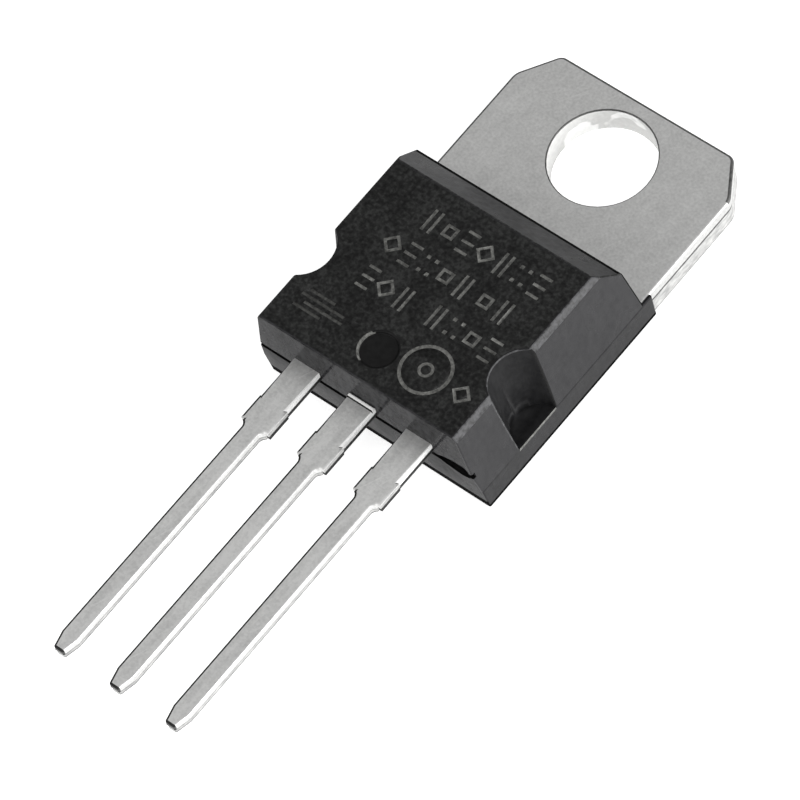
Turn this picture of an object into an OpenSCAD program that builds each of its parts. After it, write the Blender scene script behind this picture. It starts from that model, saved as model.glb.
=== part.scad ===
// Three-lead voltage regulator in a moulded package with a metal tab.
// It lies on its back: +Z comes out of the front face, +Y points to the free end of the tab,
// and the leads point to -Y. The origin is the centre of the mounting hole on the back face.

/* [Tab] */
// Moulding that covers each long edge of the tab inside the body
side_skin = 0.1; // [0.05:0.01:0.3]
// Thickness of the tab and of the plate that it continues as inside the body
tab_t = 1.22; // [1.0:0.01:1.4]
// Distance from the hole centre to the free end of the tab
tab_reach = 2.6; // [2.4:0.05:3.4]
// Width of the corner cut at the free end
tab_corner_w = 1.0; // [0.4:0.05:1.6]
// Length of the corner cut at the free end
tab_corner_l = 1.5; // [0.4:0.05:2.2]
// Diameter of the mounting hole
hole_d = 4.0; // [3.5:0.05:4.1]

/* [Moulded body] */
// Width of the body over its back half
body_w = 10; // [9.7:0.02:10.6]
// Thickness of the body from the back face to the front face
body_t = 4.45; // [4.3:0.01:4.8]
// Draft of each side wall, between the back half and the narrow bevel
side_draft = 0.48; // [0.2:0.01:0.7]
// Width of the narrow bevel beside the front face
bevel_w = 0.14; // [0.05:0.01:0.3]
// Height of the narrow bevel beside the front face
bevel_h = 0.25; // [0.1:0.01:0.4]
// Distance from the hole centre to the front half of the body
body_start = 3.95; // [3.7:0.05:4.4]
// Length by which the back half reaches further along the sides of the tab
ear_reach = 0.48; // [0.2:0.02:0.7]
// Distance from the hole centre to the lead end of the body
body_end = 13.02; // [12.7:0.02:13.6]
// Height of the edge at which the long slope at the tab end begins
slope_z = 3.35; // [2.6:0.05:3.8]
// Setback of that edge from the start of the front half
slope_setback = 0.25; // [0.05:0.05:0.5]
// Length of the long slope, measured along the part
slope_run = 1.13; // [0.6:0.01:1.6]
// Draft of the end wall on the front half, as a setback at the front face
end_draft_front = 0.04; // [0.01:0.01:0.3]
// Draft of the end wall on the back half, as a setback at the back face
end_draft_back = 0.22; // [0.02:0.01:0.4]
// Height of the parting groove in the end wall
groove_h = 0.24; // [0.06:0.01:0.3]
// Depth of the parting groove in the end wall
groove_depth = 0.16; // [0.04:0.01:0.3]

/* [Side notches] */
// Distance from the hole centre to the centre of the side notches
notch_pos = 9.87; // [9.4:0.01:10.2]
// Distance by which the axis of a notch stands outside the side of the body
notch_out = 0.05; // [-0.1:0.01:0.3]
// Radius of a notch at its floor
notch_floor_r = 1.01; // [0.8:0.01:1.1]
// Radius of a notch at the front face
notch_front_r = 1.29; // [1.15:0.01:1.5]

/* [Ejector mark] */
// Diameter of the round ejector mark in the front face
ejector_d = 1.4; // [0.8:0.05:1.8]
// Depth of the ejector mark
ejector_depth = 0.1; // [0.03:0.01:0.25]
// Distance from the hole centre to the centre of the ejector mark
ejector_pos = 11.68; // [11.2:0.02:12.0]

/* [Leads] */
// Pitch of the leads
pitch = 2.54; // [2.4:0.01:2.6]
// Thickness of the leads
lead_t = 0.5; // [0.36:0.01:0.6]
// Height of the underside of the leads above the back face
lead_z = 2.34; // [2.1:0.01:2.5]
// Length of the leads outside the body
lead_len = 13.4; // [10:0.1:16]
// Width of the broad part of a lead
broad_w = 1.15; // [1.0:0.01:1.4]
// Length of the broad part outside the body
broad_len = 2.85; // [2.2:0.05:4.5]
// Amount by which the sheared tie-bar stub is wider than the broad part
stub_extra = 0.09; // [0.02:0.01:0.2]
// Length of the tie-bar stub at the end of the broad part
stub_len = 1.05; // [0.5:0.05:1.5]
// Width of the narrow part of a lead
narrow_w = 0.72; // [0.6:0.01:0.88]
// Shoulder left beside the narrow part, where the inside corner is rounded
shoulder_w = 0.14; // [0.1:0.01:0.2]
// Straight length of that shoulder
shoulder_l = 0.06; // [0.03:0.01:0.12]
// Radius of the inside corner below the shoulder
shoulder_r = 0.3; // [0.2:0.01:0.45]
// Length of the tapered tip
tip_len = 0.65; // [0.3:0.05:1.2]
// Width of the blunt end of the tip
tip_w = 0.4; // [0.3:0.01:0.55]

/* [Inside the body] */
// Width of the shoulder on each side, between the full tab width and the plate that carries the chip
lock_shoulder = 1.0; // [0.8:0.05:1.3]
// Length of the full tab width that is held inside the body
lock_len = 0.75; // [0.4:0.05:1.0]
// Length of the taper from the full tab width to the plate
lock_taper = 0.7; // [0.3:0.05:1.0]
// Moulding left between the plate and the lead end of the body
end_block = 2.92; // [2.7:0.02:3.3]
// Width of the neck that joins the plate and the middle lead
neck_w = 1.6; // [1.2:0.05:1.9]
// Flat length of the neck before it rises
neck_flat = 0.35; // [0.2:0.05:0.5]
// Flat length of the neck after it has risen
neck_landing = 0.5; // [0.3:0.05:0.6]
// Distance from the lead end of the body to the bond pads of the outer leads
pad_inset = 0.87; // [0.6:0.01:1.0]
// Length of the bond pads
pad_len = 1.2; // [0.9:0.05:1.3]
// Width of the bond pads
pad_w = 2.3; // [1.8:0.05:2.4]
// Gap between a bond pad and the neck
pad_gap = 0.6; // [0.35:0.05:0.8]
// Width of the chip
chip_w = 2.3; // [1.6:0.1:2.6]
// Length of the chip
chip_l = 2.1; // [1.6:0.1:2.6]
// Thickness of the chip
chip_t = 0.28; // [0.2:0.01:0.36]
// Distance from the hole centre to the chip centre
chip_pos = 7.7; // [7.2:0.05:8.0]
// Thickness of the solder under the chip
solder_t = 0.05; // [0.03:0.01:0.1]
// Width of solder showing round the chip
solder_margin = 0.1; // [0.05:0.01:0.2]

/* [Bond wires] */
// Diameter of the bond wires
wire_d = 0.2; // [0.15:0.01:0.25]
// Diameter of the flattened foot at each end of a wire
foot_d = 0.44; // [0.34:0.01:0.5]
// Height of the flattened foot
foot_h = 0.12; // [0.08:0.01:0.15]
// Distance from a foot centre to the edge of the chip
foot_inset = 0.4; // [0.3:0.01:0.6]
// Rise of a wire loop above the line between its feet
loop_rise = 0.75; // [0.5:0.05:0.85]
// Distance from the edge of the chip to the foot of the ground wire on the plate
ground_reach = 1.3; // [0.8:0.1:1.5]

/* [Hidden] */
$fn = 96;

cut = 0.5;                                  // how far cutters run past the faces that they open
arc_cross = 10;                             // angle at which the shoulder arc meets the narrow part
tab_w = body_w - 2 * side_skin;             // width of the tab
plate_w = tab_w - 2 * lock_shoulder;        // width of the plate that carries the chip
front_w = body_w - 2 * (side_draft + bevel_w);  // width of the flat front face
notch_x = body_w / 2 + notch_out;           // centre line to the axis of a notch
plate_end = body_end - end_block;           // hole centre to the end of the plate
lead_top_z = lead_z + lead_t;
step_z = tab_t;                             // height at which the back half of the body ends
pad_y_out = -(body_end - pad_inset);        // edge of the bond pads towards the lead end
pad_y_in = pad_y_out + pad_len;
pad_x_in = neck_w / 2 + pad_gap;            // edge of a bond pad towards the centre line
shoulder_y = -(body_end + broad_len);
tip_y = -(body_end + lead_len);
chip_y = -chip_pos;
chip_z = tab_t + solder_t;
chip_top_z = chip_z + chip_t;
foot_x = chip_w / 2 - foot_inset;           // feet on the chip, from its centre
foot_y = chip_l / 2 - foot_inset;
pad_foot = [pad_x_in + pad_w / 2, (pad_y_in + pad_y_out) / 2];

// A profile drawn across the part, with X to the right and Z up, run along Y
module across(y_low, y_high) {
    translate([0, y_high, 0]) rotate([90, 0, 0]) linear_extrude(y_high - y_low) children();
}

// A profile drawn from the side, with Y to the right and Z up, run along X
module along(half_w) {
    translate([-half_w, 0, 0]) rotate([90, 0, 90]) linear_extrude(2 * half_w) children();
}

// Plan of a lead from y_from outwards: broad part, tie-bar stub, rounded shoulders, tapered tip
module lead_plan(y_from) {
    broad = broad_w / 2;
    stub = (broad_w + stub_extra) / 2;
    narrow = narrow_w / 2;
    stub_y = shoulder_y + stub_len;
    polygon([[-broad, y_from], [-broad, stub_y], [-stub, stub_y], [-stub, shoulder_y],
             [stub, shoulder_y], [stub, stub_y], [broad, stub_y], [broad, y_from]]);
    polygon([[-narrow, stub_y], [-narrow, tip_y + tip_len], [-tip_w / 2, tip_y],
             [tip_w / 2, tip_y], [narrow, tip_y + tip_len], [narrow, stub_y]]);
    for (side = [-1, 1]) scale_x(side) shoulder_corner(narrow);
}

// Mirror across the centre line for side = -1
module scale_x(side) {
    mirror([side < 0 ? 1 : 0, 0, 0]) children();
}

// Rounded inside corner between the shoulder and the narrow part, on the +X side
module shoulder_corner(narrow) {
    reach = shoulder_r * cos(arc_cross) - shoulder_w;
    drop = sqrt(pow(shoulder_r, 2) - pow(reach, 2));
    arc_y = shoulder_y - shoulder_l - drop;
    difference() {
        translate([0, arc_y]) square([narrow + shoulder_w, shoulder_y + stub_len / 2 - arc_y]);
        translate([narrow + shoulder_r * cos(arc_cross), arc_y]) circle(shoulder_r);
    }
}

// Plan of the tab and of the plate inside the body
module tab_plan() {
    w = tab_w / 2;
    p = plate_w / 2;
    lock_y = -(body_start + lock_len);
    polygon([[-w, tab_reach - tab_corner_l], [-w + tab_corner_w, tab_reach],
             [w - tab_corner_w, tab_reach], [w, tab_reach - tab_corner_l],
             [w, lock_y], [p, lock_y - lock_taper], [p, -plate_end],
             [-p, -plate_end], [-p, lock_y - lock_taper], [-w, lock_y]]);
}

// Side view of the neck: flat from the plate, a rise with mitred bends, flat at lead height
module neck_profile() {
    low_z = tab_t - lead_t;
    bend_y = -(plate_end + neck_flat);
    land_y = pad_y_out + neck_landing;
    mitre = lead_t * tan(atan2(lead_z - low_z, bend_y - land_y) / 2);
    polygon([[-plate_end + tab_t, low_z], [bend_y, low_z], [land_y, lead_z], [pad_y_out, lead_z],
             [pad_y_out, lead_top_z], [land_y + mitre, lead_top_z], [bend_y + mitre, tab_t],
             [-plate_end + tab_t, tab_t]]);
}

// Tab, plate, neck and middle lead: one stamping
module heat_tab() {
    color("silver") difference() {
        union() {
            linear_extrude(tab_t) tab_plan();
            along(neck_w / 2) neck_profile();
            translate([0, 0, lead_z]) linear_extrude(lead_t) lead_plan(pad_y_out + neck_landing / 2);
        }
        translate([0, 0, -cut]) cylinder(h = tab_t + 2 * cut, d = hole_d);
    }
}

// Outer lead with its bond pad; side is -1 for the input and 1 for the output
module outer_lead(side) {
    color("silver") scale_x(side) translate([0, 0, lead_z]) linear_extrude(lead_t) {
        translate([pitch, 0]) lead_plan(pad_y_out + pad_len / 2);
        translate([pad_x_in, pad_y_out]) square([pad_w, pad_len]);
    }
}

module input_lead() {
    outer_lead(-1);
}

module output_lead() {
    outer_lead(1);
}

// A flat block centred over the chip
module chip_block(w, l, z, t) {
    translate([-w / 2, chip_y - l / 2, z]) cube([w, l, t]);
}

module die_solder() {
    color("gray") chip_block(chip_w + 2 * solder_margin, chip_l + 2 * solder_margin, tab_t, solder_t);
}

module regulator_die() {
    color("slategray") chip_block(chip_w, chip_l, chip_z, chip_t);
}

// Looped bond wire between two flattened feet, each given by the point that it stands on
module bond_wire(a, b) {
    span = norm([b[0] - a[0], b[1] - a[1]]);
    rise = b[2] - a[2];
    chord = norm([span, rise]);
    r = (pow(chord / 2, 2) + pow(loop_rise, 2)) / (2 * loop_rise);
    centre_s = span / 2 + (r - loop_rise) * rise / chord;
    centre_z = rise / 2 - (r - loop_rise) * span / chord;
    from = atan2(rise - centre_z, span - centre_s);
    to = atan2(-centre_z, -centre_s);
    color("gainsboro") {
        translate([a[0], a[1], a[2] + wire_d / 2])
            rotate([0, 0, atan2(b[1] - a[1], b[0] - a[0])])
                translate([centre_s, 0, centre_z]) rotate([90, 0, 0]) rotate([0, 0, from])
                    rotate_extrude(angle = (to < from ? to + 360 : to) - from)
                        translate([r, 0]) circle(d = wire_d, $fn = 32);
        for (end = [a, b]) translate(end) cylinder(h = foot_h, d = foot_d);
    }
}

module bond_wire_input() {
    bond_wire([-foot_x, chip_y - foot_y, chip_top_z], [-pad_foot[0], pad_foot[1], lead_top_z]);
}

module bond_wire_output() {
    bond_wire([foot_x, chip_y - foot_y, chip_top_z], [pad_foot[0], pad_foot[1], lead_top_z]);
}

module bond_wire_ground() {
    bond_wire([foot_x, chip_y + foot_y, chip_top_z], [chip_w / 2 + ground_reach, chip_y + foot_y, tab_t]);
}

// Outer form of the body: the overlap of its front view profile and its side view profile
module body_form() {
    w = body_w / 2;
    f = front_w / 2;
    intersection() {
        across(-body_end - cut, 0)
            polygon([[-w, 0], [w, 0], [w, step_z], [f + bevel_w, body_t - bevel_h], [f, body_t],
                     [-f, body_t], [-f - bevel_w, body_t - bevel_h], [-w, step_z]]);
        along(w + cut)
            polygon([[-(body_end - end_draft_back), 0], [-(body_start - ear_reach), 0],
                     [-(body_start - ear_reach), step_z], [-body_start, step_z],
                     [-(body_start + slope_setback), slope_z],
                     [-(body_start + slope_setback + slope_run), body_t],
                     [-(body_end - end_draft_front), body_t], [-body_end, lead_z],
                     [-(body_end - groove_depth), lead_z],
                     [-(body_end - groove_depth), lead_z - groove_h],
                     [-body_end, lead_z - groove_h]]);
    }
}

// Tapered round notch in the +X side, open to the front and the side, with its floor at the step
module side_notch() {
    taper = (notch_front_r - notch_floor_r) / (body_t - step_z);
    translate([notch_x, -notch_pos, step_z])
        cylinder(h = body_t - step_z + cut, r1 = notch_floor_r, r2 = notch_front_r + taper * cut);
}

// Moulding cast round the metal parts, the chip and the wires
module moulded_body() {
    color("dimgray") difference() {
        body_form();
        for (side = [-1, 1]) scale_x(side) side_notch();
        translate([0, -ejector_pos, body_t - ejector_depth]) cylinder(h = ejector_depth + cut, d = ejector_d);
        heat_tab();
        input_lead();
        output_lead();
        die_solder();
        regulator_die();
        bond_wire_input();
        bond_wire_output();
        bond_wire_ground();
    }
}

heat_tab();
input_lead();
output_lead();
die_solder();
regulator_die();
bond_wire_input();
bond_wire_output();
bond_wire_ground();
moulded_body();
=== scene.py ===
"""Studio picture of a three-lead voltage regulator lying on its back on a pale floor.

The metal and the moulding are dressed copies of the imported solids, worked on in millimetres: edges
are rounded, sheared edges get their break line, the front face gets shallow laser marks, and the
end wall gets the scar of the gate.
"""

import math

import bmesh
import bpy
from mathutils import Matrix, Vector
from mathutils.bvhtree import BVHTree


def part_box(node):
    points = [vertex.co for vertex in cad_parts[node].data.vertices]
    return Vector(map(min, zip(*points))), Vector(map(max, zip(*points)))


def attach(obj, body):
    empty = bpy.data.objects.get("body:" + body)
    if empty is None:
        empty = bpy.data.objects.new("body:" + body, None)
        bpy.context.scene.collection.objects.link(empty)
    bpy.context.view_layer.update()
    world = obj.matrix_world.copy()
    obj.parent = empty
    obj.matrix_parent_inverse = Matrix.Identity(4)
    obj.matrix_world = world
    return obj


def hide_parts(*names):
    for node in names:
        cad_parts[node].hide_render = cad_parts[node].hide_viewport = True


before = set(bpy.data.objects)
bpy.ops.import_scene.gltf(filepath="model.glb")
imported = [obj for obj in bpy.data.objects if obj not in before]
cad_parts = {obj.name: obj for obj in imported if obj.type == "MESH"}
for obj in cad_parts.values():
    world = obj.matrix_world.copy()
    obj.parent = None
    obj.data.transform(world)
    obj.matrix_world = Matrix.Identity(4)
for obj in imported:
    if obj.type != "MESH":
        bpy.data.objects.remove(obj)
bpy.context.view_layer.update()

MM = 0.001
ALONG_Y = Vector((0, 1, 0))
ALONG_Z = Vector((0, 0, 1))

# Camera, fitted to the photograph: place and near limit in metres, turn in degrees, lens in millimetres
CAMERA_PLACE = (98.292 * MM, -78.541 * MM, 191.382 * MM)
CAMERA_TURN = (30.552, 9.890, 39.485)
CAMERA_LENS = 290.8
CAMERA_NEAR = 0.01

# Stage and lamps in metres, degrees and watts. Each card: name, size, place and turn.
# Each lamp: name, place, size and power.
FLOOR_SIZE = (2.4, 2.4)
FLOOR_GLOW = 0.62
DARK_CARDS = (
    ("dark_card_left", (0.2, 1.0), (-0.5, 0.1, 0.1), (0, 90, 0)),
    ("dark_card_back", (1.0, 0.2), (0, 0.55, 0.1), (90, 0, 0)),
)
WORLD_GLOW = 0.58
LAMP_AIM = (0, -0.008, 0)
LAMPS = (
    ("soft_front", (-0.35, -0.50, 0.45), (0.30, 0.30), 1.2),
    ("soft_right", (0.50, -0.15, 0.45), (0.30, 0.30), 0.9),
    ("strip_right", (0.62, 0.22, 0.11), (0.60, 0.20), 4.5),
)

# All that follows is in millimetres.
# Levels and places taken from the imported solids
LEAD_LOW, LEAD_HIGH = (corner.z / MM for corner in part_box("input_lead"))
BODY_LOW, BODY_HIGH = (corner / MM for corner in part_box("moulded_body"))
FRONT_Z = BODY_HIGH.z
BODY_END_Y = BODY_LOW.y
TIP_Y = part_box("input_lead")[0].y / MM
TAB_TOP = 1.22
HOLE_R = 2.0
SHOULDER_Y = -15.87
STUB_Y = -14.82
EJECTOR = Vector((0, -11.68, FRONT_Z))
EJECTOR_R = 0.7
NOTCH = Vector((5.05, -9.87))
NOTCH_R = 1.29
NOTCH_FLOOR_R = 1.01

# Limits of the regions that are treated alike: first those that lie above theirs, then the others
TAB_ROUND_Y = -4
TAB_SHEAR_Y = -5
SLOPE_Y = -6
NOTCH_HIGHLIGHT_Y = NOTCH.y - 2
BEVEL_Z = FRONT_Z - 0.5
LEAD_Y = -12
END_WALL_Y = BODY_END_Y + 0.5
GROOVE_Y = BODY_END_Y + 0.2
EJECTOR_FLOOR_Z = FRONT_Z - 0.06
# Painted shade at the foot of the slope reaches up to this level
SLOPE_SHADE_Z = 3.5

# Tolerances: for welding, for lying on a level, for lying clear of a face, for lying by a round wall,
# and the gap under which an edge of the moulding counts as seated on another piece
WELD = 1e-4
TOUCH = 1e-3
CLEAR = 0.01
NEAR = 0.1
SEAT_GAP = 0.004

# Angles in degrees: faces merged as flat, edges that can be rounded, edges shaded sharp
FLAT_ANGLE = 0.5
ROUNDED_ANGLE = 20
SHARP_ANGLE = 32

# Rounding of edges. The shape of the leads' roll lies between round, 0.5, and square, 1.
TAB_CORNER = 0.18
TAB_ROLL = 0.11
HOLE_ROLL = 0.05
TAB_BURR = 0.025
LEAD_ROLL = 0.085
LEAD_ROLL_SHAPE = 0.7
LEAD_BURR = 0.02
BODY_ROUND = 0.06
EJECTOR_RIM = 0.08
EJECTOR_FLOOR_RIM = 0.05

# Sheared edges: low level, high level, share of the thickness that broke away, width of the line.
# Below the line the side steps in by the setback, and the burr takes up the lowest band.
TAB_SHEAR = (0, TAB_TOP, 0.66, 0.14)
LEAD_SHEAR = (LEAD_LOW, LEAD_HIGH, 0.5, 0.06)
BREAK_SETBACK = 0.02
BURR_BAND = 0.06

# Bands of painted light and shade on the moulding: painted shade at the foot of its walls and at the foot of
# the end wall, and a painted highlight band under each notch
BODY_SHADE_BAND = 0.15
END_SHADE_BAND = 0.42
NOTCH_HIGHLIGHT_BAND = 0.13

# Parting groove of the end wall: its height below the leads
GROOVE_H = 0.24

# Scar of the gate, right of the output lead: its depth, and its outline as x and height from the
# underside of the leads
GATE_DEPTH = 0.12
GATE_OUTLINE = (
    (3.15, -0.08), (3.5, 0.1), (4.0, 0.26), (4.5, 0.28), (4.68, 0.1), (4.7, -0.35), (4.3, -0.5), (3.6, -0.36),
)

# Thin lip of plating across the root of the ground lead, its top painted white as a highlight: its height,
# the share of the roll's height that rises with it, and where it starts to rise, is up, starts to fall and is
# down, as distances from the moulding
LIP_HEIGHT = 0.06
LIP_SHARE = 0.7
LIP_PLACES = (0.01, 0.03, 0.13, 0.17)

# Laser marks: depth, reach of their cutter out of the body, width of a stroke, size and pitch of a cell
MARK_DEPTH = 0.015
CUTTER_REACH = 0.2
STROKE = 0.115
CELL_W = 0.52
CELL_H = 0.95
MARK_PITCH = 0.8

# Order of the finishes on the metal pieces and on the moulding
TAB_FACE, LEAD_FACE, DULL_EDGE_AND_SHADE, SHEARED, LIP_HIGHLIGHT, ROLL_SHADE, CUT, BORE = range(8)
SIDE, FRONT_AND_SHADE, MARK_AND_HIGHLIGHT, END, NOTCH_WALL, RECESS_AND_SHADE, FAINT, EDGE_HIGHLIGHT, PAINTED_SHADE, END_LOW, SLOPE, SIDE_LOW = range(12)


# Meshes

def millimetre_copy(node):
    """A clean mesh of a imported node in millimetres, flat faces merged."""
    bm = bmesh.new()
    bm.from_mesh(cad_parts[node].data)
    for vert in bm.verts:
        vert.co /= MM
    bmesh.ops.remove_doubles(bm, verts=bm.verts, dist=WELD)
    bmesh.ops.dissolve_limit(
        bm, angle_limit=math.radians(FLAT_ANGLE), verts=bm.verts, edges=bm.edges
    )
    bm.normal_update()
    return bm


def finished(bm, name, node, materials):
    """Turns the working mesh into a piece that stands for the node."""
    bmesh.ops.dissolve_degenerate(bm, dist=WELD, edges=bm.edges)
    for vert in bm.verts:
        vert.co *= MM
    mesh = bpy.data.meshes.new(name)
    bm.to_mesh(mesh)
    bm.free()
    for material in materials:
        mesh.materials.append(material)
    piece = bpy.data.objects.new(name, mesh)
    bpy.context.scene.collection.objects.link(piece)
    mesh.shade_smooth()
    mesh.set_sharp_from_angle(angle=math.radians(SHARP_ANGLE))
    flat = piece.modifiers.new("flat_faces_stay_flat", "WEIGHTED_NORMAL")
    flat.keep_sharp = True
    flat.weight = 100
    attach(piece, "root")
    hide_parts(node)


def everywhere(point):
    """Any point of a piece."""
    return True


def slice_faces(bm, chosen, place, along):
    """Cuts the faces with chosen centres, at a place along an axis, without changing their shape."""
    faces = [f for f in bm.faces if chosen(f.calc_center_median())]
    edges = {e for f in faces for e in f.edges}
    verts = {v for f in faces for v in f.verts}
    bmesh.ops.bisect_plane(
        bm, geom=[*verts, *edges, *faces], dist=0.1 * WELD, plane_co=place * along, plane_no=along
    )
    bm.normal_update()


def break_line(bm, shear, chosen):
    """Sheared edge: below the line, the outline steps in by the setback."""
    low, high, share, width = shear
    line = low + share * (high - low)
    for level in (line, line - width):
        slice_faces(bm, chosen, level, ALONG_Z)
    moves = {}
    for vert in bm.verts:
        if not low - WELD <= vert.co.z <= line - width + WELD or not chosen(vert.co):
            continue
        sides = []
        for face in vert.link_faces:
            upright_face = abs(face.normal.z) < 0.1
            if upright_face and all((face.normal - n).length > TOUCH for n in sides):
                sides.append(face.normal.copy())
        if len(sides) == 1:
            moves[vert] = -BREAK_SETBACK * sides[0]
        elif len(sides) >= 2:
            total = sides[0] + sides[1]
            moves[vert] = -BREAK_SETBACK * total / (1 + sides[0].dot(sides[1]))
    for vert, move in moves.items():
        vert.co += move
    bm.normal_update()


def round_edges(bm, chosen, width, segments=3, hollow=False, shape=0.5):
    """Rounds the chosen sharp edges, the outer ones or the hollow ones."""
    edges = [
        e for e in bm.edges
        if e.is_manifold and e.is_convex != hollow
        and e.calc_face_angle(0) > math.radians(ROUNDED_ANGLE)
        and chosen((e.verts[0].co + e.verts[1].co) / 2, e)
    ]
    made = bmesh.ops.bevel(
        bm, geom=edges, offset=width, offset_type="OFFSET", segments=segments, profile=shape,
        affect="EDGES", clamp_overlap=False,
    )
    bm.normal_update()
    return set(made["faces"])


def upright(edge):
    """Whether an edge stands along Z."""
    run = edge.verts[0].co - edge.verts[1].co
    return abs(run.z) > 0.95 * run.length


def near_hole(point):
    """Whether a point lies by the wall of the screw hole."""
    return point.xy.length < HOLE_R + NEAR


def sheared_part(face, shear, rolled, plain, rim):
    """Which finish a face of a stamping takes."""
    low, high, share, width = shear
    middle = face.calc_center_median()
    outward = face.normal.to_2d()
    line = low + share * (high - low)
    at_tip = middle.y < TIP_Y + LEAD_ROLL
    towards_right = outward.x > 0.3
    # Upper right sides of the lead roots take the white lip finish: a painted highlight
    if STUB_Y < middle.y < BODY_END_Y and towards_right and middle.z > line:
        return LIP_HIGHLIGHT
    # Rolls that face back or left, at the tips and round the hole, take the darker rim finish: painted shade
    if face in rolled and middle.z > high - TAB_ROLL:
        towards_back = outward.y > 0.1 * outward.length
        towards_left = outward.x < -0.3 * outward.length
        dark = near_hole(middle) or towards_back or towards_left or at_tip
        return rim if dark else plain
    level = abs(face.normal.z) > 0.8
    if level:
        return plain
    if near_hole(middle):
        return BORE
    on_stub = SHOULDER_Y < middle.y < STUB_Y and abs(outward.x) > 0.9
    if on_stub:
        return SHEARED if middle.z > line else DULL_EDGE_AND_SHADE
    if middle.z > line:
        return CUT if at_tip else plain
    if middle.z > line - width or middle.z < low + BURR_BAND:
        return CUT
    return DULL_EDGE_AND_SHADE if SHOULDER_Y < middle.y < BODY_END_Y else SHEARED


# Laser marks and the scar of the gate

def on_front(x, y, outer):
    """A corner of a mark in the front face, at its floor or outside the body."""
    return x, y, FRONT_Z + (CUTTER_REACH if outer else -MARK_DEPTH)


def on_end(x, height, outer):
    """A corner of the scar in the end wall, at its floor or outside the body."""
    return x, BODY_END_Y + (-CUTTER_REACH if outer else GATE_DEPTH), LEAD_LOW + height


def prism(bm, loop, hole=None, finish=MARK_AND_HIGHLIGHT, place=on_front):
    """A closed prism through a face of the body, with an optional hole of as many corners."""
    before = len(bm.faces)
    rings = [
        [[bm.verts.new(place(*corner, outer)) for corner in ring] for outer in (False, True)]
        for ring in ([loop, hole] if hole else [loop])
    ]
    count = len(loop)
    for which, (bottom, top) in enumerate(rings):
        for i in range(count):
            j = (i + 1) % count
            corners = (bottom[i], bottom[j], top[j], top[i])
            bm.faces.new(corners if which == 0 else corners[::-1])
    if hole:
        (out_low, out_high), (in_low, in_high) = rings
        for i in range(count):
            j = (i + 1) % count
            bm.faces.new((out_low[j], out_low[i], in_low[i], in_low[j]))
            bm.faces.new((out_high[i], out_high[j], in_high[j], in_high[i]))
    else:
        bm.faces.new(rings[0][0][::-1])
        bm.faces.new(rings[0][1])
    bm.faces.ensure_lookup_table()
    for face in bm.faces[before:]:
        face.material_index = finish


def bar(bm, x, y, width, height, finish=MARK_AND_HIGHLIGHT):
    """A straight stroke with its lower left corner at x, y."""
    right, up = x + width, y + height
    prism(bm, [(x, y), (right, y), (right, up), (x, up)], finish=finish)


def ring(bm, x, y, radius, line, corners):
    """A round outline about x, y."""
    turns = [2 * math.pi * i / corners for i in range(corners)]
    outer, inner = (
        [(x + r * math.cos(t), y + r * math.sin(t)) for t in turns] for r in (radius, radius - line)
    )
    prism(bm, outer, inner)


def cell_square(bm, x, y):
    """A square outline at half height."""
    y += (CELL_H - CELL_W) / 2
    right, up = x + CELL_W, y + CELL_W
    outer, inner = (
        [(x + line, y + line), (right - line, y + line), (right - line, up - line), (x + line, up - line)]
        for line in (0, STROKE)
    )
    prism(bm, outer, inner)


def cell_rungs(bm, x, y):
    """Three level strokes."""
    for step in range(3):
        bar(bm, x, y + step * (CELL_H - STROKE) / 2, CELL_W, STROKE)


def cell_posts(bm, x, y):
    """Two upright strokes."""
    inset = 0.06
    bar(bm, x + inset, y, STROKE, CELL_H)
    bar(bm, x + CELL_W - STROKE - inset, y, STROKE, CELL_H)


def cell_dots(bm, x, y):
    """Four small squares."""
    dot = 1.3 * STROKE
    inset = 0.1
    for right in (0, CELL_W - dot):
        for up in (inset, CELL_H - dot - inset):
            bar(bm, x + right, y + up, dot, dot)


def cell_diamond(bm, x, y):
    """A square outline on its corner."""
    middle = Vector((x + CELL_W / 2, y + CELL_H / 2))
    half = 0.42
    line = 1.4 * STROKE
    ways = [Vector(way) for way in ((0, -1), (1, 0), (0, 1), (-1, 0))]
    outer, inner = ([tuple(middle + size * way) for way in ways] for size in (half, half - line))
    prism(bm, outer, inner)


# Rows of marks: x of the first cell, y of the foot, and the cells
MARK_ROWS = (
    (-1.95, -7.12, (cell_posts, cell_square, cell_rungs, cell_diamond, cell_posts, cell_dots, cell_rungs)),
    (-2.55, -8.60, (cell_diamond, cell_rungs, cell_dots, cell_square, cell_posts)),
    (1.65, -8.62, (cell_square, cell_posts)),
    (-2.40, -10.12, (cell_rungs, cell_diamond, cell_posts)),
    (0.62, -10.05, (cell_posts, cell_dots, cell_square, cell_rungs)),
    (3.30, -11.95, (cell_diamond,)),
)

# Rings about one place: radius, width of the line and number of corners
RING_PLACE = (1.91, -11.40)
RINGS = ((1.0, STROKE + 0.02, 64), (0.3, STROKE, 32))

# Faint strokes: x, y and length
FAINT_BARS = ((-3.7, -11.95, 1.2), (-3.4, -11.7, 1.7), (-3.7, -11.45, 1.9), (-3.5, -11.2, 1.1))


def mark_cutter():
    """All marks and the scar of the gate as one cutting mesh."""
    bm = bmesh.new()
    for x, y, cells in MARK_ROWS:
        for step, cell in enumerate(cells):
            cell(bm, x + step * MARK_PITCH, y)
    for radius, line, corners in RINGS:
        ring(bm, *RING_PLACE, radius, line, corners)
    for x, y, length in FAINT_BARS:
        bar(bm, x, y, length, STROKE, finish=FAINT)
    # The scar of the gate takes painted shade
    prism(bm, GATE_OUTLINE, finish=PAINTED_SHADE, place=on_end)
    bmesh.ops.recalc_face_normals(bm, faces=bm.faces)
    mesh = bpy.data.meshes.new("mark_cutter")
    bm.to_mesh(mesh)
    bm.free()
    return mesh


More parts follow.
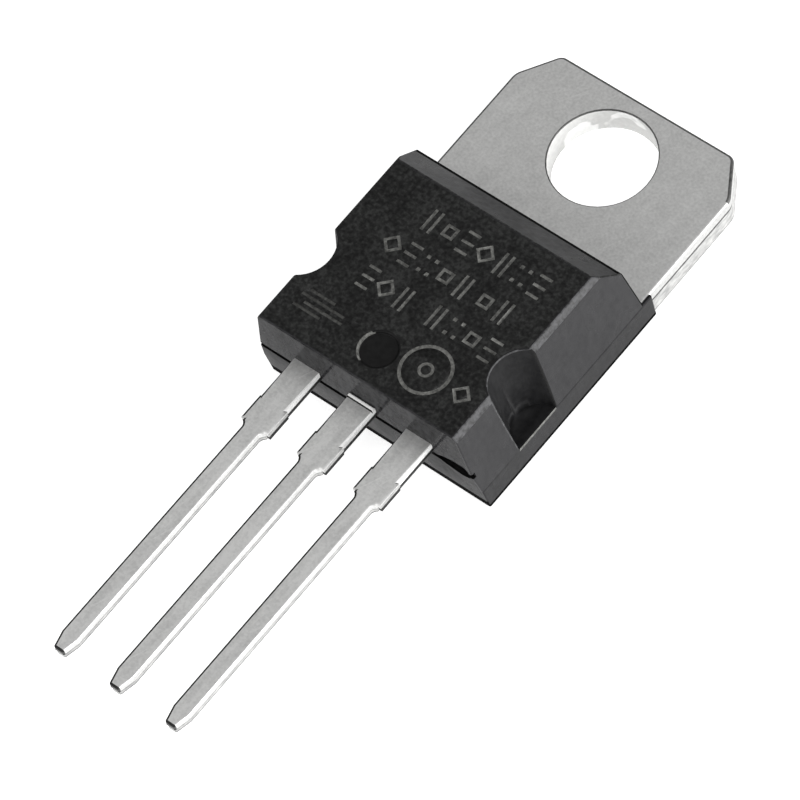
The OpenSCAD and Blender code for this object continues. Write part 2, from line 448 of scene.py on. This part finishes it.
def cut_marks(bm, materials):
    """A new working mesh without the marks and the scar; the old one is freed."""
    meshes = [bpy.data.meshes.new("uncut"), mark_cutter()]
    bm.to_mesh(meshes[0])
    bm.free()
    objects = []
    for mesh in meshes:
        for material in materials:
            mesh.materials.append(material)
        objects.append(bpy.data.objects.new(mesh.name, mesh))
        bpy.context.scene.collection.objects.link(objects[-1])
    cut = objects[0].modifiers.new("marks", "BOOLEAN")
    cut.operation = "DIFFERENCE"
    cut.solver = "EXACT"
    cut.object = objects[1]
    graph = bpy.context.evaluated_depsgraph_get()
    result = bmesh.new()
    result.from_object(objects[0], graph)
    for thing, mesh in zip(objects, meshes):
        bpy.data.objects.remove(thing)
        bpy.data.meshes.remove(mesh)
    result.normal_update()
    return result


# Materials

class Finish:
    """A node material under construction."""

    def __init__(self, name, colour, metallic=0.0, roughness=0.5, specular=0.5):
        self.material = bpy.data.materials.new(name)
        self.material.use_nodes = True
        self.tree = self.material.node_tree
        self.shader = self.tree.nodes["Principled BSDF"]
        self.set("Base Color", (*colour, 1))
        self.set("Metallic", metallic)
        self.set("Roughness", roughness)
        self.set("Specular IOR Level", specular)
        self.normal = None

    def set(self, socket, value):
        """Gives a socket of the shader one value all over."""
        self.shader.inputs[socket].default_value = value

    def node(self, kind, **links):
        """Adds a node and links its named inputs."""
        made = self.tree.nodes.new(kind)
        for name, source in links.items():
            self.tree.links.new(source, made.inputs[name])
        return made

    def space(self, stretch=(1, 1, 1), turn=0):
        """Object coordinates in millimetres, turned about Z in degrees and then stretched."""
        place = self.node("ShaderNodeTexCoord").outputs["Object"]
        turned = self.node("ShaderNodeMapping", Vector=place)
        turned.inputs["Rotation"].default_value = (0, 0, math.radians(turn))
        sized = self.node("ShaderNodeMapping", Vector=turned.outputs[0])
        sized.inputs["Scale"].default_value = [part / MM for part in stretch]
        return sized.outputs[0]

    def noise(self, per_mm, detail, stretch=(1, 1, 1), turn=0, warp=0.0):
        """Noise with so many lumps per millimetre."""
        made = self.node("ShaderNodeTexNoise", Vector=self.space(stretch, turn))
        made.inputs["Scale"].default_value = per_mm
        made.inputs["Detail"].default_value = detail
        made.inputs["Distortion"].default_value = warp
        return made.outputs[0]

    def spread(self, value, from_low, from_high, low=0.0, high=1.0):
        """Maps a range of the value onto another, held at its ends."""
        made = self.node("ShaderNodeMapRange", Value=value)
        made.inputs["From Min"].default_value = from_low
        made.inputs["From Max"].default_value = from_high
        made.inputs["To Min"].default_value = low
        made.inputs["To Max"].default_value = high
        return made.outputs[0]

    def both(self, first, second, how="ADD"):
        """Two values joined into one."""
        made = self.node("ShaderNodeMath")
        made.operation = how
        self.tree.links.new(first, made.inputs[0])
        self.tree.links.new(second, made.inputs[1])
        return made.outputs[0]

    def colours(self, value, *stops):
        """Base colour along the value, from (place, colour) stops."""
        made = self.node("ShaderNodeValToRGB", Fac=value)
        ramp = made.color_ramp
        while len(ramp.elements) < len(stops):
            ramp.elements.new(1)
        for element, (place, colour) in zip(ramp.elements, stops):
            element.position = place
            element.color = (*colour, 1)
        self.tree.links.new(made.outputs[0], self.shader.inputs["Base Color"])

    def rough(self, value):
        """Roughness that follows the value."""
        self.tree.links.new(value, self.shader.inputs["Roughness"])

    def bump(self, height, depth_mm):
        """Relief that follows the height, on top of the relief before it."""
        made = self.node("ShaderNodeBump", Height=height)
        made.inputs["Distance"].default_value = depth_mm * MM
        if self.normal:
            self.tree.links.new(self.normal, made.inputs["Normal"])
        self.normal = made.outputs[0]
        self.tree.links.new(self.normal, self.shader.inputs["Normal"])


def tin_finish(name, tone, streak_turn, streak_stretch, streak_strength):
    """Matte tin plate: cloudy tone, fine grain and thin handling scratches."""
    look = Finish(name, (tone, tone, tone * 0.985), metallic=0.8, roughness=0.4)
    clouds = look.noise(1.3, 5, warp=0.4)
    grain = look.noise(9.0, 5)
    streaks = look.noise(3.0, 4, stretch=streak_stretch, turn=streak_turn)
    lines = look.noise(5.0, 2, stretch=(1, 0.06, 1), turn=streak_turn + 24)
    scratches = look.spread(lines, 0.66, 0.72)
    cloud_tone = look.spread(clouds, 0.3, 0.7, 0, 0.3)
    streak_tone = look.spread(streaks, 0.3, 0.7, 0, streak_strength)
    tones = look.both(cloud_tone, streak_tone)
    tones = look.both(tones, look.spread(grain, 0.35, 0.65, 0, 0.5))
    tones = look.both(tones, look.spread(scratches, 0, 1, 0, 0.25))
    dark = (tone * 0.82, tone * 0.82, tone * 0.81)
    light = (tone * 1.14, tone * 1.14, tone * 1.125)
    look.colours(tones, (0.0, dark), (1.0, light))
    look.rough(look.spread(look.both(clouds, grain), 0.6, 1.4, 0.5, 0.36))
    look.bump(grain, 0.006)
    look.bump(streaks, 0.004)
    look.bump(scratches, 0.003)
    return look.material


def edge_finish(name, tone, metallic=0.9, index=1.5):
    """Worked edges of the stampings, where the plating is thin and dull. The dull edge and rolled edge copies
    also serve as painted shade on rolls that face back or left.
    """
    look = Finish(name, (tone, tone, tone), metallic=metallic, roughness=0.5)
    look.set("IOR", index)
    grain = look.noise(8.0, 3, stretch=(1, 0.3, 1))
    light, dark = 1.35 * tone, 0.7 * tone
    look.colours(grain, (0.3, (dark, dark, dark)), (0.7, (light, light, light * 0.98)))
    look.rough(look.spread(grain, 0.3, 0.7, 0.4, 0.6))
    look.bump(grain, 0.004)
    return look.material


def lip_highlight_finish():
    """Diffuse white standing in for light caught by the lip and the lead roots: a painted highlight."""
    look = Finish("lip_painted_highlight", (0.92, 0.92, 0.91), roughness=0.45)
    grain = look.noise(12.0, 2)
    look.colours(grain, (0.3, (0.85, 0.85, 0.84)), (0.7, (0.96, 0.96, 0.95)))
    look.rough(look.spread(grain, 0.3, 0.7, 0.38, 0.55))
    look.bump(grain, 0.003)
    return look.material


def bore_finish():
    """Wall of the hole: punched smooth, pale, with white patches that gather towards -X, where the wall faces
    the right: the gathering is a painted highlight.
    """
    look = Finish("bore_wall", (0.75, 0.75, 0.74), metallic=0.1, roughness=0.5)
    across = look.node("ShaderNodeSeparateXYZ", Vector=look.space()).outputs["X"]
    # More white patches towards -X, where the bore faces the right: painted highlight
    patches = look.both(look.noise(0.7, 2, warp=0.6), look.spread(across, -HOLE_R, HOLE_R, 0.12, -0.2))
    grain = look.noise(6.0, 3)
    tones = look.both(look.spread(patches, 0.6, 0.65, 0, 0.75), look.spread(grain, 0.3, 0.7, 0, 0.25))
    look.colours(tones, (0.0, (0.56, 0.56, 0.55)), (0.25, (0.66, 0.66, 0.65)), (1.0, (0.95, 0.95, 0.94)))
    look.rough(look.spread(grain, 0.3, 0.7, 0.42, 0.6))
    look.bump(grain, 0.004)
    return look.material


def wall_finish(name, roughness, specular, tint=(1.0, 1.0, 1.0), index=1.5, blotch=0.016):
    """Moulded walls: fairly smooth, slightly cloudy, faint drag lines. Its copies are tuned lighter or darker
    for each wall to the light that falls on it: painted light and shade.
    """
    look = Finish(name, (0.010, 0.010, 0.011), roughness=roughness, specular=specular)
    look.set("IOR", index)
    look.set("Specular Tint", (*tint, 1))
    clouds = look.noise(0.9, 4, warp=0.3)
    grain = look.noise(16.0, 3)
    drag = look.noise(5.0, 2, stretch=(1, 1, 0.12))
    blotches = look.spread(look.noise(4.0, 5, warp=0.3), 0.35, 0.65)
    tones = look.both(look.both(clouds, drag, "MULTIPLY"), look.spread(blotches, 0, 1, 0, 0.3))
    look.colours(tones, (0.1, (0.006, 0.006, 0.0065)), (0.6, (blotch, blotch, blotch * 1.04)))
    look.rough(look.spread(clouds, 0.3, 0.7, roughness * 0.8, roughness * 1.25))
    look.bump(grain, 0.003)
    look.bump(drag, 0.003)
    return look.material


def front_finish():
    """Moulded front face: spark-eroded texture, darker and more matte than the walls. Also laid on rounded
    edges that face back or left as painted shade.
    """
    look = Finish("moulding_front_and_shade", (0.007, 0.007, 0.007), roughness=0.62, specular=0.22)
    pits = look.noise(7.5, 5, warp=0.2)
    clouds = look.noise(0.7, 3, warp=0.5)
    tones = look.both(look.spread(pits, 0.3, 0.7, 0, 0.7), look.spread(clouds, 0.3, 0.7, 0, 0.3))
    dark = (0.002, 0.002, 0.002)
    middle = (0.0095, 0.0098, 0.0095)
    light = (0.027, 0.0276, 0.027)
    look.colours(tones, (0.2, dark), (0.5, middle), (0.85, light))
    look.rough(look.spread(pits, 0.3, 0.7, 0.72, 0.5))
    look.bump(pits, 0.015)
    return look.material


def mark_finish(name, tone):
    """Floor of a laser mark: charred pale and granular. The laser mark copy is also laid on the left rim of
    the ejector mark and in a band under each notch as a painted highlight.
    """
    look = Finish(name, (tone, tone, tone * 0.95), roughness=0.85, specular=0.2)
    grain = look.noise(8.0, 4)
    light, dark = 1.5 * tone, 0.5 * tone
    look.colours(grain, (0.3, (dark, dark, dark * 0.95)), (0.7, (light, light, light * 0.95)))
    look.bump(grain, 0.01)
    return look.material


def recess_finish(name, specular, index=1.5):
    """Dark parts of the moulding: the face of the ejector pin, and painted shade in the parting groove and
    the scar, at the foot of the walls and of the slope, and on the far rounded edges of the notches.
    """
    look = Finish(name, (0.004, 0.004, 0.004), roughness=0.4, specular=specular)
    look.set("IOR", index)
    turned = look.noise(5.0, 3)
    look.colours(turned, (0.3, (0.003, 0.003, 0.003)), (0.7, (0.008, 0.008, 0.008)))
    look.rough(look.spread(turned, 0.3, 0.7, 0.4, 0.6))
    look.bump(turned, 0.003)
    return look.material


def edge_highlight_finish():
    """Outer edges of the moulding that face the right, painted lighter as a highlight."""
    look = Finish("edge_painted_highlight", (0.03, 0.03, 0.0315), roughness=0.5, specular=0.35)
    highlight_mottle = look.noise(6.0, 4, warp=0.3)
    look.colours(highlight_mottle, (0.35, (0.01, 0.01, 0.0105)), (0.65, (0.08, 0.08, 0.084)))
    look.rough(look.spread(highlight_mottle, 0.3, 0.7, 0.4, 0.65))
    look.bump(highlight_mottle, 0.006)
    return look.material


def solder_finish():
    """Dull solder with slow ripples."""
    look = Finish("die_solder", (0.4, 0.4, 0.4), metallic=1.0, roughness=0.5)
    ripples = look.noise(6.0, 3, warp=0.6)
    look.colours(ripples, (0.3, (0.32, 0.32, 0.33)), (0.7, (0.5, 0.5, 0.5)))
    look.rough(look.spread(ripples, 0.3, 0.7, 0.38, 0.6))
    look.bump(ripples, 0.01)
    return look.material


def silicon_finish():
    """Polished chip with faint blocks of circuit."""
    look = Finish("silicon", (0.1, 0.11, 0.13), metallic=0.6, roughness=0.2)
    tiles = look.node("ShaderNodeTexBrick", Vector=look.space())
    tiles.inputs["Scale"].default_value = 3.0
    patches = look.spread(look.noise(2.5, 1), 0.4, 0.6, 0, 0.6)
    seams = look.spread(tiles.outputs["Fac"], 0, 1, 0, 0.4)
    blocks = look.both(patches, seams)
    look.colours(blocks, (0.2, (0.06, 0.07, 0.1)), (0.8, (0.2, 0.22, 0.27)))
    look.rough(look.spread(blocks, 0, 1, 0.14, 0.32))
    look.bump(tiles.outputs["Fac"], 0.002)
    return look.material


def wire_finish():
    """Drawn aluminium wire."""
    look = Finish("aluminium_wire", (0.8, 0.8, 0.8), metallic=1.0, roughness=0.25)
    drawn = look.noise(14.0, 2, stretch=(1, 0.2, 1))
    look.colours(drawn, (0.3, (0.7, 0.7, 0.71)), (0.7, (0.88, 0.88, 0.88)))
    look.rough(look.spread(drawn, 0.3, 0.7, 0.2, 0.36))
    look.bump(drawn, 0.002)
    return look.material


def floor_finish():
    """Lit white sheet."""
    look = Finish("pale_floor", (0.86, 0.86, 0.86), roughness=0.9, specular=0.1)
    look.set("Emission Color", (1, 1, 1, 1))
    look.set("Emission Strength", FLOOR_GLOW)
    return look.material


# The finishes, in the order of their numbers
METAL = [
    tin_finish("tab_tin", 0.60, 8, (1, 0.4, 1), 0.25),
    tin_finish("lead_tin", 0.66, 0, (1, 0.15, 1), 0.6),
    # Dull edge: worked edges, and painted shade on lead rolls that face back or left and on the lip's outer
    # slope
    edge_finish("dull_edge_and_painted_shade", 0.025, 0.0, 1.15),
    edge_finish("sheared_edge", 0.5),
    # White lip: painted highlight
    lip_highlight_finish(),
    # Rolled edge: painted shade on tab rolls that face back or left and round the hole
    edge_finish("rolled_edge_painted_shade", 0.11),
    edge_finish("cut_edge", 0.1),
    bore_finish(),
]
MOULDING = [
    # Side, end, notch, slope and low-band walls: copies of one finish, each tuned to the light on its wall:
    # painted light and shade
    wall_finish("moulding_side", 0.24, 0.3, (0.96, 0.95, 1.0)),
    front_finish(),
    # Laser marks, and painted highlight on the ejector rim and under the notches
    mark_finish("laser_mark_and_highlight", 0.13),
    wall_finish("moulding_end", 0.12, 0.025, blotch=0.042),
    wall_finish("moulding_notch", 0.55, 0.12),
    # Face of the ejector pin, and painted shade on the far rounded edges of the notches
    recess_finish("ejector_recess_and_shade", 0.16),
    mark_finish("faint_mark", 0.05),
    # Lighter edge finish: painted highlight on right-facing edges
    edge_highlight_finish(),
    # Painted shade at the feet, in the parting groove and the scar, and at the foot of the slope
    recess_finish("moulding_painted_shade", 0.02, 1.1),
    wall_finish("moulding_end_low", 0.3, 0.07, index=1.3, blotch=0.035),
    wall_finish("moulding_slope", 0.3, 0.08, blotch=0.03),
    wall_finish("moulding_side_low", 0.24, 0.11, (0.96, 0.95, 1.0)),
]


# Metal pieces

def lead_edge(point, edge):
    """Whether an edge lies round the top of a lead outside the moulding, or stands at its tip."""
    at_tip = upright(edge) and point.y < TIP_Y + NEAR
    return point.y < BODY_END_Y - CLEAR and (point.z > LEAD_HIGH - TOUCH or at_tip)


def lead_foot(point, edge):
    """Whether an edge lies round the underside of a lead outside the moulding."""
    return point.y < BODY_END_Y - CLEAR and point.z < LEAD_LOW + TOUCH


def round_lead(bm):
    """Rounds the edges of a lead and returns the faces of the roll round its top."""
    rolled = round_edges(bm, lead_edge, LEAD_ROLL, shape=LEAD_ROLL_SHAPE)
    round_edges(bm, lead_foot, LEAD_BURR, segments=2)
    return rolled


def root_lip(bm):
    """Raises a thin lip on the ground lead, just outside the moulding. Its top takes the white lip finish as
    a painted highlight, its outer slope the dull edge finish as painted shade.
    """
    rises, is_up, falls, is_down = (BODY_END_Y - place for place in LIP_PLACES)
    top = LEAD_HIGH - LIP_SHARE * LEAD_ROLL
    for place in (rises, is_up, falls, is_down):
        slice_faces(bm, lambda p: p.y < LEAD_Y, place, ALONG_Y)
    for vert in bm.verts:
        if falls - WELD < vert.co.y < is_up + WELD and vert.co.z > top:
            vert.co.z += LIP_HEIGHT
    bm.normal_update()
    for face in bm.faces:
        middle = face.calc_center_median()
        if is_down < middle.y < rises and middle.z > top:
            face.material_index = LIP_HIGHLIGHT if middle.y > falls else DULL_EDGE_AND_SHADE


def make_tab():
    """Tab, plate and middle lead."""

    def on_tab(point):
        return point.y > TAB_SHEAR_Y and point.z < TAB_TOP + CLEAR

    def on_lead(point):
        return point.y < LEAD_Y and point.z > LEAD_LOW - CLEAR

    def tab_corner(point, edge):
        return point.y > TAB_ROUND_Y and upright(edge) and not near_hole(point)

    def on_top(point):
        return point.y > TAB_ROUND_Y and point.z > TAB_TOP - TOUCH

    bm = millimetre_copy("heat_tab")
    round_edges(bm, tab_corner, TAB_CORNER, segments=5)
    break_line(bm, TAB_SHEAR, on_tab)
    break_line(bm, LEAD_SHEAR, on_lead)
    rolled = round_edges(bm, lambda p, e: on_top(p) and not near_hole(p), TAB_ROLL)
    rolled |= round_edges(bm, lambda p, e: on_top(p) and near_hole(p), HOLE_ROLL)
    round_edges(bm, lambda p, e: p.y > TAB_ROUND_Y and p.z < TOUCH, TAB_BURR, segments=2)
    rolled |= round_lead(bm)
    slice_faces(bm, on_tab, BURR_BAND, ALONG_Z)
    slice_faces(bm, on_lead, LEAD_LOW + BURR_BAND, ALONG_Z)
    for face in bm.faces:
        if face.calc_center_median().y > LEAD_Y:
            face.material_index = sheared_part(face, TAB_SHEAR, rolled, TAB_FACE, ROLL_SHADE)
        else:
            face.material_index = sheared_part(face, LEAD_SHEAR, rolled, LEAD_FACE, DULL_EDGE_AND_SHADE)
    root_lip(bm)
    finished(bm, "tab_and_ground_lead", "heat_tab", METAL)


def make_lead(node, name):
    """One of the two outer leads."""
    bm = millimetre_copy(node)
    break_line(bm, LEAD_SHEAR, everywhere)
    rolled = round_lead(bm)
    slice_faces(bm, everywhere, LEAD_LOW + BURR_BAND, ALONG_Z)
    for face in bm.faces:
        face.material_index = sheared_part(face, LEAD_SHEAR, rolled, LEAD_FACE, DULL_EDGE_AND_SHADE)
    finished(bm, name, node, METAL)


# Moulding and the pieces inside it

def near_ejector(point):
    """Whether a point lies in or by the mark of the ejector pin."""
    return (point - EJECTOR).length < EJECTOR_R + NEAR


def near_notch(point, reach):
    """Whether a point lies within reach of the wall of one of the side notches."""
    return (Vector((abs(point.x), point.y)) - NOTCH).length < NOTCH_R + reach


def in_groove(point):
    """Whether a point lies at the parting groove of the end wall."""
    return point.y < GROOVE_Y and LEAD_LOW - GROOVE_H - TOUCH < point.z < LEAD_LOW + TOUCH


def moulding_part(face, rounded):
    """Which finish a face of the moulding takes."""
    middle = face.calc_center_median()
    normal = face.normal
    if near_ejector(middle) and middle.z < FRONT_Z - TOUCH:
        # The left rim of the ejector mark takes the pale mark finish: a painted highlight
        lit_left = middle.x < -0.3 and middle.y < EJECTOR.y + 0.45
        return MARK_AND_HIGHLIGHT if lit_left and middle.z > FRONT_Z - EJECTOR_RIM else RECESS_AND_SHADE
    if normal.z > 0.99 and middle.z > FRONT_Z - TOUCH:
        return FRONT_AND_SHADE
    if rounded and near_notch(middle, 2 * BODY_ROUND) and middle.z > TAB_TOP - NEAR:
        at_rim = middle.z > FRONT_Z - BODY_ROUND
        # Rounded notch edges on the far side take the dark recess finish: painted shade
        if middle.y > NOTCH.y and not at_rim:
            return RECESS_AND_SHADE
        # Rounded notch edges that face the right take the lighter edge finish: a painted highlight
        lit_side = normal.x > (0.5 if at_rim else 0.15)
        return EDGE_HIGHLIGHT if lit_side else NOTCH_WALL
    if near_notch(middle, 2 * CLEAR) and TAB_TOP - CLEAR < middle.z < FRONT_Z - BODY_ROUND:
        return NOTCH_WALL
    # A band of the side wall under each notch takes the pale mark finish: a painted highlight
    highlight_under_notch = abs(middle.y - NOTCH.y) < NOTCH_FLOOR_R and TAB_TOP - NOTCH_HIGHLIGHT_BAND < middle.z < TAB_TOP
    on_side = abs(normal.x) > 0.9
    if highlight_under_notch and on_side:
        return MARK_AND_HIGHLIGHT
    # The right-facing bevel of the front face takes the lighter edge finish: a painted highlight
    on_bevel = normal.x > 0.3 and 0.3 < normal.z < 0.95 and middle.z > BEVEL_Z
    if on_bevel:
        return EDGE_HIGHLIGHT
    on_end_wall = normal.y < -0.6
    # The foot of the walls and of the end wall, the parting groove and the foot of the slope take painted
    # shade
    if middle.z < (END_SHADE_BAND if on_end_wall else BODY_SHADE_BAND):
        return PAINTED_SHADE
    in_end_groove = in_groove(middle) and normal.y > -0.99
    on_slope = normal.y > 0.3 and middle.z > TAB_TOP
    if in_end_groove or (on_slope and middle.z < SLOPE_SHADE_Z):
        return PAINTED_SHADE
    # Rounded edges that face back or left take the darker front finish: painted shade
    if rounded and (normal.y > 0.3 or normal.x < -0.2):
        return FRONT_AND_SHADE
    # End, slope and side walls, high and low, take their own copies of the wall finish, tuned to the light on
    # each: painted light and shade
    if on_end_wall and not (rounded and normal.x > 0.1):
        return END_LOW if middle.z < LEAD_LOW - GROOVE_H + CLEAR else END
    if on_slope:
        return SLOPE
    return SIDE_LOW if middle.z < TAB_TOP else SIDE


def surface(node):
    """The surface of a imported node, for finding the point nearest to another."""
    bm = millimetre_copy(node)
    tree = BVHTree.FromBMesh(bm)
    bm.free()
    return tree


def make_moulding():
    """Moulded body."""
    inner = [surface(node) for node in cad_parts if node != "moulded_body"]

    def outer_edge(point, edge):
        clear = all(tree.find_nearest(point)[3] > SEAT_GAP for tree in inner)
        return clear and point.z > TOUCH and not near_ejector(point) and not in_groove(point)

    def ejector_rim(point, edge):
        return near_ejector(point) and point.z > FRONT_Z - TOUCH

    def ejector_floor(point, edge):
        return near_ejector(point) and point.z < EJECTOR_FLOOR_Z

    def by_notches(point):
        return point.y > NOTCH_HIGHLIGHT_Y

    def low_side(point):
        return abs(point.x) > BODY_HIGH.x - NEAR and point.z < TAB_TOP

    def low_end_wall(point):
        return point.y < END_WALL_Y and point.z < LEAD_LOW

    def mid_slope(point):
        return point.y > SLOPE_Y and abs(point.x) < 1 and point.z > TAB_TOP

    bm = millimetre_copy("moulded_body")
    rounded = round_edges(bm, outer_edge, BODY_ROUND)
    round_edges(bm, ejector_rim, EJECTOR_RIM, segments=2)
    round_edges(bm, ejector_floor, EJECTOR_FLOOR_RIM, hollow=True)
    slice_faces(bm, everywhere, BODY_SHADE_BAND, ALONG_Z)
    slice_faces(bm, by_notches, TAB_TOP - NOTCH_HIGHLIGHT_BAND, ALONG_Z)
    slice_faces(bm, low_end_wall, END_SHADE_BAND, ALONG_Z)
    slice_faces(bm, mid_slope, SLOPE_SHADE_Z, ALONG_Z)
    for side in (-NOTCH_FLOOR_R, NOTCH_FLOOR_R):
        slice_faces(bm, low_side, NOTCH.y + side, ALONG_Y)
    for face in bm.faces:
        face.material_index = moulding_part(face, face in rounded)
    bm = cut_marks(bm, MOULDING)
    finished(bm, "regulator_moulding", "moulded_body", MOULDING)


def dress_inner(node, material):
    """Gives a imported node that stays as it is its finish."""
    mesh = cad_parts[node].data
    mesh.materials.clear()
    mesh.materials.append(material)


def make_inner():
    """Solder, chip and wires inside the moulding."""
    dress_inner("die_solder", solder_finish())
    dress_inner("regulator_die", silicon_finish())
    wire = wire_finish()
    for node in ("bond_wire_input", "bond_wire_output", "bond_wire_ground"):
        dress_inner(node, wire)


# Stage and studio

def make_sheet(name, size, place, turn, material):
    """A flat rectangle of the stage, in metres and degrees."""
    bm = bmesh.new()
    bmesh.ops.create_grid(bm, x_segments=1, y_segments=1, size=0.5)
    for vert in bm.verts:
        vert.co.x *= size[0]
        vert.co.y *= size[1]
    mesh = bpy.data.meshes.new(name)
    bm.to_mesh(mesh)
    bm.free()
    mesh.materials.append(material)
    sheet = bpy.data.objects.new(name, mesh)
    sheet.location = place
    sheet.rotation_euler = [math.radians(a) for a in turn]
    bpy.context.scene.collection.objects.link(sheet)


def make_stage():
    """Pale floor, and two dark cards that draw the far edges."""
    make_sheet("floor", FLOOR_SIZE, (0, 0, 0), (0, 0, 0), floor_finish())
    dark = Finish("dark_card", (0.02, 0.02, 0.02), roughness=0.8, specular=0.1)
    for name, size, place, turn in DARK_CARDS:
        make_sheet(name, size, place, turn, dark.material)


def make_lamp(name, place, size, power):
    """A soft rectangular lamp that points at the middle of the part, in metres and watts."""
    data = bpy.data.lights.new(name, "AREA")
    data.shape = "RECTANGLE"
    data.size, data.size_y = size
    data.energy = power
    lamp = bpy.data.objects.new(name, data)
    bpy.context.scene.collection.objects.link(lamp)
    lamp.location = place
    lamp.rotation_mode = "QUATERNION"
    lamp.rotation_quaternion = (Vector(LAMP_AIM) - Vector(place)).to_track_quat("-Z", "Y")


def make_studio():
    """Camera, world and lamps."""
    scene = bpy.context.scene
    data = bpy.data.cameras.new("camera")
    data.lens = CAMERA_LENS
    data.clip_start = CAMERA_NEAR
    camera = bpy.data.objects.new("camera", data)
    camera.location = CAMERA_PLACE
    camera.rotation_euler = [math.radians(a) for a in CAMERA_TURN]
    scene.collection.objects.link(camera)
    scene.camera = camera
    scene.view_settings.view_transform = "Standard"
    world = bpy.data.worlds.new("studio")
    world.use_nodes = True
    sky = world.node_tree.nodes["Background"]
    sky.inputs["Color"].default_value = (1, 1, 1, 1)
    sky.inputs["Strength"].default_value = WORLD_GLOW
    scene.world = world
    for name, place, size, power in LAMPS:
        make_lamp(name, place, size, power)


make_tab()
make_lead("input_lead", "input_pin")
make_lead("output_lead", "output_pin")
make_moulding()
make_inner()
make_stage()
make_studio()
